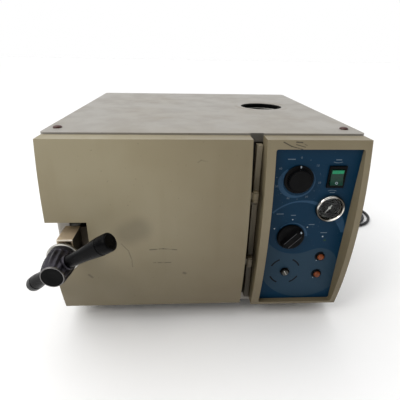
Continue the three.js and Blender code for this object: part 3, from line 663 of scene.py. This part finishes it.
# ------------------------------------------------------------------ mains lead
def cord_route():
    """The lead's route: down to the table, a flat spiral beside the machine, out over it and back behind."""
    rest = CORD["diameter"] / 2 + 0.2
    exit_x, exit_z = CORD["exit_x"], CORD["exit_z"]
    points = [
        (exit_x, DEPTH + CORD["relief"] + 0.3, exit_z), (exit_x, 469, exit_z - 1.5), (151.5, 488, exit_z - 9),
        (157, 505, 25.5), (172, 518, 14.5), (194, 520, 7.5), (220, 509, rest + 0.6), (250, 490, rest),
        (293, 463, rest), (340, 438, rest)]
    steps = 39
    for i in range(steps + 1):
        share = i / steps
        angle = math.radians(80) - 2 * math.pi * LOOPS["turns"] * share
        radius = LOOPS["radius"] - LOOPS["shrink"] * share
        x = LOOPS["x"] - LOOPS["drift"] * share + radius * math.cos(angle)
        y = LOOPS["y"] + radius * math.sin(angle)
        points.append((x, y, rest + 50 * max(0, share - 0.86)))
    points += [
        (344, 344, rest + 8.4), (325, 364, rest + 8.4), (303, 382, rest + 4.5), (281, 403, rest + 0.6),
        (263, 432, rest + 0.8), (252, 462, rest + 4.5), (243, 489, rest + 8.6), (230, 516, rest + 7.6),
        (208, 537, rest + 2.5), (180, 548, rest + 1.5), (155, 550, rest + 6),
        (PLUG["x"], PLUG["y"], PLUG["z"])]
    return points


def make_cord():
    """A smooth curve through the same points as the CAD tube, by centripetal Catmull-Rom."""
    points = [place(*point) for point in cord_route()]
    points = [points[0] * 2 - points[1], *points, points[-1] * 2 - points[-2]]
    path = []
    for a, b, c, d in zip(points, points[1:], points[2:], points[3:]):
        t1 = (b - a).length ** 0.5
        t2 = t1 + (c - b).length ** 0.5
        t3 = t2 + (d - c).length ** 0.5
        for step in range(5):
            t = t1 + (t2 - t1) * step / 5
            ab = a * ((t1 - t) / t1) + b * (t / t1)
            bc = b * ((t2 - t) / (t2 - t1)) + c * ((t - t1) / (t2 - t1))
            cd = c * ((t3 - t) / (t3 - t2)) + d * ((t - t2) / (t3 - t2))
            left = ab * ((t2 - t) / t2) + bc * (t / t2)
            right = bc * ((t3 - t) / (t3 - t1)) + cd * ((t - t1) / (t3 - t1))
            path.append(left * ((t2 - t) / (t2 - t1)) + right * ((t - t1) / (t2 - t1)))
    path.append(points[-2])
    curve = bpy.data.curves.new("mains_lead", "CURVE")
    curve.dimensions = "3D"
    curve.bevel_depth = CORD["diameter"] / 2 * MM
    curve.bevel_resolution = 4
    curve.use_fill_caps = True
    spline = curve.splines.new("POLY")
    spline.points.add(len(path) - 1)
    for point, where in zip(spline.points, path):
        point.co = (*where, 1)
    curve.materials.append(MATERIALS["cord_jacket"])
    lead = add("mains_lead", curve)
    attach(lead, "cabinet")
    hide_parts("power_cord")
    length = sum((b - a).length for a, b in zip(path, path[1:]))
    return lead, path[0], length


def make_plug():
    """The moulded body and its two round pins."""
    body = finished("power_plug", 1.2, 3, name="plug_body")
    bm = bmesh.new()
    far = PLUG["x"] - PLUG["end"]
    turn = Matrix.Rotation(-math.pi / 2, 4, "Y")
    for side in (-1, 1):
        root = place(far + 0.5, PLUG["y"] + side * PLUG["spacing"] / 2, PLUG["z"])
        tip = PLUG["pins"] + 0.6
        pin = [(0, 0), (2.5, 0), (2.5, tip - 2), (1.6, tip), (0, tip)]
        lathe(bm, pin, Matrix.Translation(root) @ turn, 20)
    pins = finish_piece("plug_pins", bm, "cabinet", "stainless")
    return [body, pins]


LEAD, LEAD_START, LEAD_LENGTH = make_cord()
make_plug()


# ------------------------------------------------------------------ stage
def make_floor():
    reach, level = 14.0, -0.0005
    corners = [(-reach, -reach, level), (reach, -reach, level), (reach, reach, level), (-reach, reach, level)]
    mesh = bpy.data.meshes.new("floor")
    mesh.from_pydata(corners, [], [(0, 1, 2, 3)])
    floor = add("floor", mesh)
    cloth = Surface("floor_matt", linear(250, 250, 250), 0.9, specular=0.1)
    cloth.blend(cloth.noise(40, 3), linear(246, 246, 246), 0.4)
    mesh.materials.append(cloth.material)


def make_world():
    """White light all round, weaker from the front."""
    world = bpy.data.worlds.new("studio")
    world.use_nodes = True
    tree = world.node_tree
    direction = tree.nodes.new("ShaderNodeTexCoord")
    parts = tree.nodes.new("ShaderNodeSeparateXYZ")
    tree.links.new(direction.outputs["Generated"], parts.inputs[0])
    level = tree.nodes.new("ShaderNodeMapRange")
    tree.links.new(parts.outputs["Y"], level.inputs["Value"])
    for name, value in (("From Min", -0.5), ("From Max", 0.5), ("To Min", 0.36), ("To Max", 1.0)):
        level.inputs[name].default_value = value
    tree.links.new(level.outputs["Result"], tree.nodes["Background"].inputs[1])
    tree.nodes["Background"].inputs[0].default_value = (1.0, 1.0, 1.0, 1)
    bpy.context.scene.world = world


def make_lights():
    """A soft box at the front left, and a broad soft light from above."""
    box = bpy.data.lights.new("front_left", "AREA")
    box.size = 0.7
    box.energy = 15
    box.color = (1.0, 0.98, 0.95)
    front_left = add("front_left", box)
    front_left.location = (-1.3, -1.2, 1.5)
    aim = Vector((0, 0, 0.15)) - front_left.location
    front_left.rotation_euler = aim.to_track_quat("-Z", "Y").to_euler()

    sky = bpy.data.lights.new("overhead", "SUN")
    sky.energy = 1.25
    sky.angle = math.radians(70)
    overhead = add("overhead", sky)
    overhead.rotation_euler = (math.radians(-8), math.radians(-16), 0)


make_floor()
make_world()
make_lights()
bpy.context.scene.view_settings.view_transform = "Standard"


# ------------------------------------------------------------------ cabinet and pressure system
EDGES = {
    0.3: ("tray_rack", "door_gasket"),
    0.4: ("rear_panel", "front_frame", "lower_tray", "upper_tray", "safety_valve_body", "safety_valve_pull"),
    0.6: ("outer_cover", "base_pan", "closing_screw", "centre_bolt", "gauge_case", "heater_band",
          "exhaust_pipe"),
    0.8: ("water_reservoir", "filler_neck", "chamber_vessel", "door_plate", "keeper_block",
          "insulation_jacket"),
    1.0: ("timer_unit", "thermostat_unit", "function_valve"),
}
for width, node_names in EDGES.items():
    for node_name in node_names:
        finished(node_name, width)
for node_name in ("door_cover", "control_fascia"):
    finished(node_name, 2.6, 3)
# Painted shade: the hinge post darkens towards the bottom.
finished("hinge_post", 0.6, material=HINGE_ENAMEL)
for node_name in ("hinge_arm", "upper_hinge_bracket", "lower_hinge_bracket", "upper_hinge_pin",
                  "lower_hinge_pin"):
    finished(node_name, 0.6, material=KNUCKLE_SHADE_ENAMEL)
finished("control_panel", 0.2)
# Painted shade: the door bridge is drawn near-black where it sits in shade inside the notch.
finished("door_bridge", 0.8, material=BRIDGE_SHADE_BLACK)
finished("closing_clevis", 0.8, material=CLEVIS_STEEL)


def top_plugs():
    dome = [(0, 0.2), (6.2, 0.2), (6.2, 0.9), (5.7, 1.9), (4.4, 2.8), (2.4, 3.3), (0, 3.5)]
    for side, (x, y) in TOP_PLUGS.items():
        where = Matrix.Translation(place(x, y, TOP))
        turned(f"top_plug_{side}_dome", dome, where, "cabinet", "plug_brown",
               replaces=(f"top_plug_{side}",), segments=32)


def feet():
    profile = [(0, 0), (11, 0), (12.6, 0.8), (13.7, 3), (14, 5), (13.1, 6), (13.1, 7.4), (14, 8.4), (14, 14),
               (13, 17.7), (0, 17.7)]
    for corner, (x, y) in FEET.items():
        turned(f"foot_{corner}_rubber", profile, Matrix.Translation(place(x, y, 0)), "cabinet",
               "foot_rubber", replaces=(f"foot_{corner}",), segments=40)


def screw_head(bm, matrix):
    """A pan head with a raised cross, its flat side at local Z 0."""
    radius, height = 3.6, 1.8
    lathe(bm, [(0, -1), (radius, -1), (radius, 0.4), (radius * 0.86, height * 0.75), (radius * 0.5, height),
               (0, height)], matrix, 24)
    for turn in (0, math.pi / 2):
        arm = rounded(-radius * 0.55, radius * 0.55, -0.35, 0.35, 0.3, 2)
        prism(bm, arm, height - 0.4, height + 0.05, matrix @ Matrix.Rotation(turn + 0.4, 4, "Z"))


def rear_details():
    """Screws round the back sheet, and its pressed louvres with dark strips in their openings as painted
    shade.
    """
    bm = bmesh.new()
    spots = [(side * 208, z) for side in (-1, 1) for z in (52, 130, 208, 284)]
    spots += [(x, 299) for x in (-120, 0, 120)]
    for x, z in spots:
        screw_head(bm, Matrix.Translation(place(x, DEPTH, z)) @ TO_BACK)
    finish_piece("rear_screws", bm, "cabinet", "stainless")

    hoods = bmesh.new()
    slots = bmesh.new()
    skin = DEPTH - 1.8
    hood = [(0, 0), (-1, 1.9), (-3.5, 3), (-6.5, 0)]
    for column in (-110, 60):
        for row in range(9):
            low = 176 + row * 11
            where = Matrix.Translation(place(column, skin, low)) @ Matrix.Rotation(math.pi / 2, 4, "Y")
            prism(hoods, hood, -38, 38, where)
            # Painted shade: a dark strip inside each louvre's opening.
            prism(slots, [(0.3, 0), (0.3, 1.5), (-0.2, 1.5), (-0.2, 0)], -37, 37, where)
    finish_piece("rear_louvres", hoods, "cabinet", "cabinet_paint", bevel=0.5)
    finish_piece("rear_louvre_slit_shades", slots, "cabinet", DARK_INK_AND_SHADE)


def strain_relief():
    """A tapered boot with moulded flexing ribs."""
    profile = [(0, -8), (6.2, -8), (6.2, 0.2), (10, 0.2), (10, 3.6), (9.2, 5), (7, 5.6)]
    ribs = 6
    for i in range(ribs):
        start = 7 + i * 3.1
        radius = 7 - 0.36 * i
        waist = radius - 0.9
        profile += [(radius, start), (radius, start + 1.7), (waist, start + 2), (waist, start + 2.9)]
    profile += [(4.6, CORD["relief"] - 0.4), (4.2, CORD["relief"]), (0, CORD["relief"])]
    where = Matrix.Translation(place(CORD["exit_x"], DEPTH, CORD["exit_z"])) @ TO_BACK
    turned("strain_relief", profile, where, "cabinet", "black_plastic", replaces=("cord_gland",),
           segments=32)


top_plugs()
feet()
rear_details()
strain_relief()


# ------------------------------------------------------------------ closing device
def closing_device():
    """Thrust collar, ribbed bell hub with its cap, a pale strip painted as a highlight on the clevis's front
    edge, and a set screw in the bell.
    """
    collar, hub, cap = CLOSER["collar"], CLOSER["hub"], CLOSER["cap"]
    ring("thrust_ring", [(7.2, collar + 0.2), (19, collar + 0.2), (20.9, collar + 1), (21.4, collar + 2.2),
                         (21.4, collar + 4.4), (20.6, collar + 5.6), (7.2, collar + 5.6)], CLOSER_FRAME,
         "closing_travel", "stainless", replaces=("thrust_collar",))
    profile = [(0, hub), (18, hub), (18.8, hub + 1), (18.8, hub + 5), (18, hub + 6), (18, hub + 12),
               (17.6, hub + 18), (16.8, hub + 24), (15.8, hub + 30), (15, hub + 34), (14.2, cap - 1),
               (0, cap - 1)]
    turned("hub_bell", profile, CLOSER_FRAME, "closing_handle", HUB_BLACK, "black_plastic",
           ("closing_hub",), 98, ribs=14, rib_depth=0.9, rib_rows=(4, 5, 6, 7, 8, 9))
    ring("cap_ring", [(13.1, cap - 1), (14.2, cap - 1), (14.5, cap + 0.6), (14.3, cap + 1.6), (13.8, cap + 2),
                      (13.3, cap + 1.9), (13.1, cap + 1)], CLOSER_FRAME, "closing_handle", CAP_STEEL,
         "stainless")
    turned("cap_disc", [(0, cap - 1), (13.2, cap - 1), (13.2, cap + 1.4), (12.2, cap + 1.6), (7, cap + 0.8),
                        (0, cap + 0.4)], CLOSER_FRAME, "closing_handle", GLOSS_BLACK, "black_plastic",
           ("hub_cap",))
    # Painted highlight: a thin pale strip along the clevis's front edge.
    left, right = (CLEVIS["shift"] + side * (CLEVIS["half"] - 0.2) for side in (-1, 1))
    low, high = CLEVIS["rise"] - 1.6, CLEVIS["rise"] + 0.2
    lip = prism(bmesh.new(), [(left, low), (right, low), (right, high), (left, high)],
                CLEVIS["forward"] - 0.4, CLEVIS["forward"] + 0.6, CLOSER_FRAME)
    finish_piece("clevis_lip_highlight", lip, "door", EDGE_HIGHLIGHT, "stainless", bevel=0.2)
    turned("hub_stud", [(0, 0), (2.2, 0), (2.2, 2.6), (1.4, 3.6), (0, 3.8)], on_hub(54), "closing_handle",
           MATERIALS["bezel_chrome"], segments=24)


def on_hub(angle):
    """A place on the bell's side, facing out from its axis at an angle from the machine's right."""
    reach = math.radians(angle)
    outward = Vector((math.cos(reach), -0.25, math.sin(reach))).normalized()
    where = place(CLOSER["x"] + 15.5 * math.cos(reach), -92, CLOSER["z"] + 15.5 * math.sin(reach))
    return Matrix.Translation(where) @ outward.to_track_quat("Z", "Y").to_matrix().to_4x4()


def grip(side):
    """A straight grip that swells towards its end, with a groove near the end and a ferrule at the hub."""
    length = GRIPS[side]["length"]
    tilt, turn = (math.radians(GRIPS[side][key]) for key in ("tilt", "turn"))
    outward = Vector((math.cos(tilt) * math.cos(turn), -math.sin(tilt), math.cos(tilt) * math.sin(turn)))
    if side == "left":
        outward.negate()
    where = (Matrix.Translation(place(CLOSER["x"], -GRIP["forward"], CLOSER["z"]))
             @ outward.to_track_quat("Z", "Y").to_matrix().to_4x4())
    root, end = GRIP["root"], GRIPS[side]["end"]
    profile = [(0, 10), (root - 0.6, 10), (root, 20), (root + 0.2, 30), (root + 1.1, 48),
               (end - 0.5, length - 22), (end, length - 16), (end - 0.7, length - 15.2),
               (end - 0.7, length - 14), (end, length - 13.2), (end, length - 3), (end - 0.6, length - 1),
               (end - 2, length), (end - 2.8, length - 0.8), (0, length - 1)]
    turned(f"{side}_grip_handle", profile, where, "closing_handle", GLOSS_BLACK, "black_plastic",
           (f"{side}_grip",), 56)
    sleeve = [(root - 1, 15), (root + 1, 15), (root + 1.6, 16), (root + 1.6, 20), (root + 1, 21),
              (root - 1, 21)]
    ring(f"{side}_grip_ferrule", sleeve, where, "closing_handle", HUB_BLACK)


closing_device()
for side_name in GRIPS:
    grip(side_name)


# ------------------------------------------------------------------ panel print
def on_panel(location, height=0.0):
    return PANEL_FRAME @ shift(*location, height)


def ink(name, bm, material=WHITE_INK, body="cabinet"):
    return finish_piece(name, bm, body, material)


def dash(bm, start, end, level):
    low, high = level - 0.65, level + 0.65
    prism(bm, [(start, low), (end, low), (end, high), (start, high)], 0, 0.12, PANEL_FRAME)


def around(centre, radius, angle):
    """The [x, y] point at a radius and an angle in radians from a centre."""
    return (centre[0] + radius * math.cos(angle), centre[1] + radius * math.sin(angle))


def dot(bm, centre, radius):
    steps = 20
    outline = [around(centre, radius, 2 * math.pi * i / steps) for i in range(steps)]
    prism(bm, outline, 0, 0.12, PANEL_FRAME)


def between(*stops):
    """A radius that runs through (share, radius) stops."""
    def radius(share):
        for (s0, r0), (s1, r1) in zip(stops, stops[1:]):
            if share <= s1:
                return r0 + (r1 - r0) * (share - s0) / (s1 - s0)
        return stops[-1][1]
    return radius


def panel_print():
    """Slate arcs, dashes where words would be, white spots, one small triangle, dark guard arcs round the
    adjuster, and dark arcs of painted shade over the top and left of each lamp.
    """
    sweep = bmesh.new()
    crescent(sweep, (-10, -10), 136, 71, between((0, 59), (0.49, 60), (1, 57)),
             between((0, 61.5), (1, 62)), 0, 0.1, PANEL_FRAME)
    crescent(sweep, (-10, -10), 34, 7, between((0, 58), (0.44, 59), (1, 64)),
             between((0, 69), (0.15, 70), (0.76, 70), (1, 68.2)), 0, 0.1, PANEL_FRAME)
    crescent(sweep, (-23.5, 81), 133, 415,
             between((0, 20.8), (0.2, 21), (0.5, 21.6), (0.8, 22.6), (1, 22.4)),
             between((0, 25), (0.16, 28.6), (0.32, 27), (0.5, 24.6), (0.8, 24.2), (1, 22.8)),
             0, 0.1, PANEL_FRAME, 64)
    crescent(sweep, VALVE, 139, 0, between((0, 21.4), (0.4, 22), (0.75, 22.2), (1, 21.6)),
             between((0, 22.3), (0.4, 23.6), (0.75, 24.8), (1, 26)), 0, 0.1, PANEL_FRAME, 48)
    ink("panel_sweeps", sweep, SLATE_INK)

    labels = bmesh.new()
    for start, end, level in ((-42.3, -31.8, 113.3), (-47.6, -37.2, 30.1), (-26, -19, 27.8),
                              (2.6, 11.2, 12.1), (23, 32.8, -2.2), (23.5, 31.5, 112.5), (24, 31.5, 64.2)):
        dash(labels, start, end, level)
    for centre, start, end in (((27, 124), 247, 293), ((27, 52), 67, 113)):
        crescent(labels, centre, start, end, 15.3, 16.1, 0, 0.12, PANEL_FRAME, 12)
    ink("panel_labels", labels, GREY_INK)

    spots = bmesh.new()
    for angle in (152, 90, 33):
        dot(spots, around(VALVE, 28.5, math.radians(angle)), 0.9)
    dot(spots, (27.4, -9), 1.1)
    for x, y in LAMPS:
        dot(spots, (x - 4.5, y - 8), 0.7)
    ink("panel_dots", spots)

    triangle = bmesh.new()
    prism(triangle, [(29.2, -17), (34.2, -17), (31.7, -12.6)], 0, 0.12, PANEL_FRAME)
    ink("panel_triangle", triangle, MATERIALS["rocker_green"])

    guard = bmesh.new()
    for middle in (45, 135, 225, 315):
        crescent(guard, SPINDLE, middle - 20, middle + 20, 22.8, 25.2, 0, 0.1, PANEL_FRAME, 16)
    # Painted shade: dark arcs over the top and down the left of each lamp's bezel.
    for x, y in LAMPS:
        crescent(guard, (x, y), 60, 250, 7.2, 8.6, 0, 0.1, PANEL_FRAME, 24)
    ink("panel_guard_arcs_and_lamp_shade", guard, DARK_INK_AND_SHADE)


def timer_scale():
    """Thirteen marks from 0 to 60 minutes, twenty-five degrees apart."""
    marks = bmesh.new()
    for i in range(13):
        angle = math.radians(90 - 25 * i)
        if i % 2:
            dot(marks, around(TIMER, 30.5, angle), 0.5)
        else:
            digits(f"timer_figure_{5 * i}", str(5 * i), 4.4, around(TIMER, 31, angle), PANEL_FRAME,
                   "cabinet", GREY_INK)
    ink("timer_marks", marks, GREY_INK)


panel_print()
timer_scale()


# ------------------------------------------------------------------ knobs
def timer_knob():
    """A flat skirt under a finely ribbed cap, with a white pointer on the skirt."""
    profile = [(0, 0.6), (20.4, 0.6), (20.4, 2.4), (19.9, 3), (17.4, 3.4), (16.7, 4), (16.3, 10),
               (15.9, 11.2), (15.2, 11.9), (14.2, 12), (13.7, 11.5), (0, 11.3)]
    turned("timer_knob_body", profile, on_panel(TIMER), "timer", "black_plastic",
           replaces=("timer_knob",), segments=144, ribs=36, rib_depth=0.35, rib_rows=(5, 6, 7))
    pointer = prism(bmesh.new(), rounded(-0.8, 0.8, 16.8, 20.2, 0.4, 3), 2.9, 3.6, on_panel(TIMER))
    ink("timer_pointer", pointer, body="timer")


def valve_knob():
    """A round skirt with a raised bar across it; the bar has two pale strips along its edges as painted
    highlights, and a white mark.
    """
    skirt = [(0, 0.6), (20.4, 0.6), (20.4, 3.2), (19.8, 4.2), (18.4, 5), (17, 5.2), (0, 5.2)]
    bm = lathe(bmesh.new(), skirt, on_panel(VALVE), 72)
    turn = on_panel(VALVE) @ Matrix.Rotation(math.radians(VALVE_POINTER), 4, "Z")
    sections = ((4, 7.4, 19.4), (6, 6.4, 19.2), (9, 5.8, 18.4), (11.4, 5.6, 16.8), (12.6, 5.2, 15.4),
                (12.8, 4.4, 14.6), (11.8, 3.6, 13.6))
    loft(bm, [(height, rounded(-reach, reach, -half, half, half - 0.2)) for height, half, reach in sections],
         turn)
    finish_piece("valve_knob_body", bm, "valve_selector", "black_plastic", replaces=("valve_knob",))
    # Painted highlights: pale strips along the bar's two top edges.
    rails = bmesh.new()
    for side in (-1, 1):
        prism(rails, rounded(-12.5, 12.5, side * 4.8 - 0.28, side * 4.8 + 0.28, 0.25, 2), 12.5, 12.95, turn)
    ink("valve_bar_edge_highlights", rails, BAR_EDGE_HIGHLIGHT, "valve_selector")
    mark = prism(bmesh.new(), rounded(15.6, 18, -1.1, 1.1, 0.5, 3), 9, 12, turn)
    ink("valve_mark", mark, body="valve_selector")


def adjuster():
    """The thermostat's slotted spindle in its lock nut."""
    finished("thermostat_spindle", 0.3, material=MATERIALS["dark_steel"])
    nut = bmesh.new()
    turns = [math.radians(60 * i) for i in range(6)]
    corners, bore = ([around((0, 0), radius, turn) for turn in turns] for radius in (7.6, 5.3))
    for i in range(6):
        after = (i + 1) % 6
        prism(nut, [corners[i], corners[after], bore[after], bore[i]], 0.3, 2.6, on_panel(SPINDLE))
    finish_piece("adjuster_nut", nut, "cabinet", GLOSS_BLACK, "dark_steel")
    floor = prism(bmesh.new(), [(-4.4, -0.6), (4.4, -0.6), (4.4, 0.6), (-4.4, 0.6)], 4.7, 5.0,
                  on_panel(SPINDLE) @ Matrix.Rotation(math.radians(SPINDLE_SLOT), 4, "Z"))
    ink("adjuster_slot", floor, MATERIALS["bezel_chrome"], "thermostat_adjuster")


def rocker_switch():
    """The frame and rocker as the CAD has them, a ring mark below and a lit window above."""
    finished("rocker_frame", 0.9, 3, material=GLOSS_BLACK)
    finished("power_rocker", 0.6, 3)
    facet = on_panel(ROCKER, 3.2) @ Matrix.Rotation(-math.atan(3 / 11), 4, "X")
    mark = crescent(bmesh.new(), (-0.2, -8), 0, 360, 1.1, 1.7, 0, 0.15, facet, 28)
    ink("rocker_mark", mark, body="rocker")
    top = on_panel(ROCKER, 3.2) @ Matrix.Rotation(math.atan(0.4 / 11), 4, "X")
    window = prism(bmesh.new(), rounded(-8, 8, 5.4, 10.2, 0.8, 3), 0.0, 0.25, top)
    finish_piece("rocker_window", window, "rocker", BRIGHT_GREEN, "rocker_green")


def gauge():
    """Bezel ring, dial with its scale and figures, needle and lens."""
    where = on_panel(GAUGE)
    ring("gauge_ring", [(16.8, 0.4), (20.8, 0.4), (20.8, 4.2), (20.3, 5.4), (19.2, 6.2), (18.2, 6),
                        (17.4, 5), (16.8, 3)], where, "cabinet", GAUGE_CHROME, "bezel_chrome",
         ("gauge_bezel",), 72)
    turned("gauge_face_plate", [(0, -2), (15.6, -2), (15.6, -0.8), (0, -0.8)], where, "cabinet",
           "gauge_face", replaces=("gauge_dial",), segments=56)
    scale = bmesh.new()
    for i in range(21):
        angle = GAUGE_ZERO + 90 - 13.5 * i
        major = i % 5 == 0
        reach, half = (12, 0.35) if major else (13, 0.18)
        spoke = where @ Matrix.Rotation(math.radians(angle), 4, "Z")
        prism(scale, [(reach, -half), (14, -half), (14, half), (reach, half)], -0.8, -0.68, spoke)
        if major:
            digits(f"gauge_figure_{i // 5}", str(i // 5), 3, around(GAUGE, 9.6, math.radians(angle)),
                   PANEL_FRAME @ shift(0, 0, -0.85), "cabinet", DIM_INK)
    ink("gauge_scale", scale, DIM_INK)
    needle = where @ Matrix.Rotation(math.radians(GAUGE_ZERO), 4, "Z")
    blade = loft(bmesh.new(), [(0.4, [(-0.9, -5), (0.9, -5), (0.25, 12), (-0.25, 12)]),
                               (0.9, [(-0.7, -4.8), (0.7, -4.8), (0.12, 11.8), (-0.12, 11.8)])], needle)
    lathe(blade, [(0, -0.4), (1.9, -0.4), (1.9, 1.3), (1.2, 1.8), (0, 1.8)], where, 28)
    finish_piece("needle_blade", blade, "needle", "needle_white", replaces=("gauge_needle",))
    finished("gauge_lens", 0.2)


def lamps():
    lens = [(0, 0.3), (5.2, 0.3), (5.2, 2.2), (4.9, 3.6), (3.9, 4.8), (2.2, 5.4), (0, 5.6)]
    bezel = [(5.2, 0.3), (7, 0.3), (7, 1.4), (6.4, 2.3), (5.6, 2.4), (5.2, 1.9)]
    for name, location in zip(("upper", "lower"), LAMPS):
        where = on_panel(location)
        turned(f"{name}_lamp_lens", lens, where, "cabinet", "lamp_amber", replaces=(f"{name}_lamp",),
               segments=32)
        ring(f"{name}_lamp_bezel", bezel, where, "cabinet", GLOSS_BLACK, "black_plastic")


timer_knob()
valve_knob()
adjuster()
rocker_switch()
gauge()
lamps()
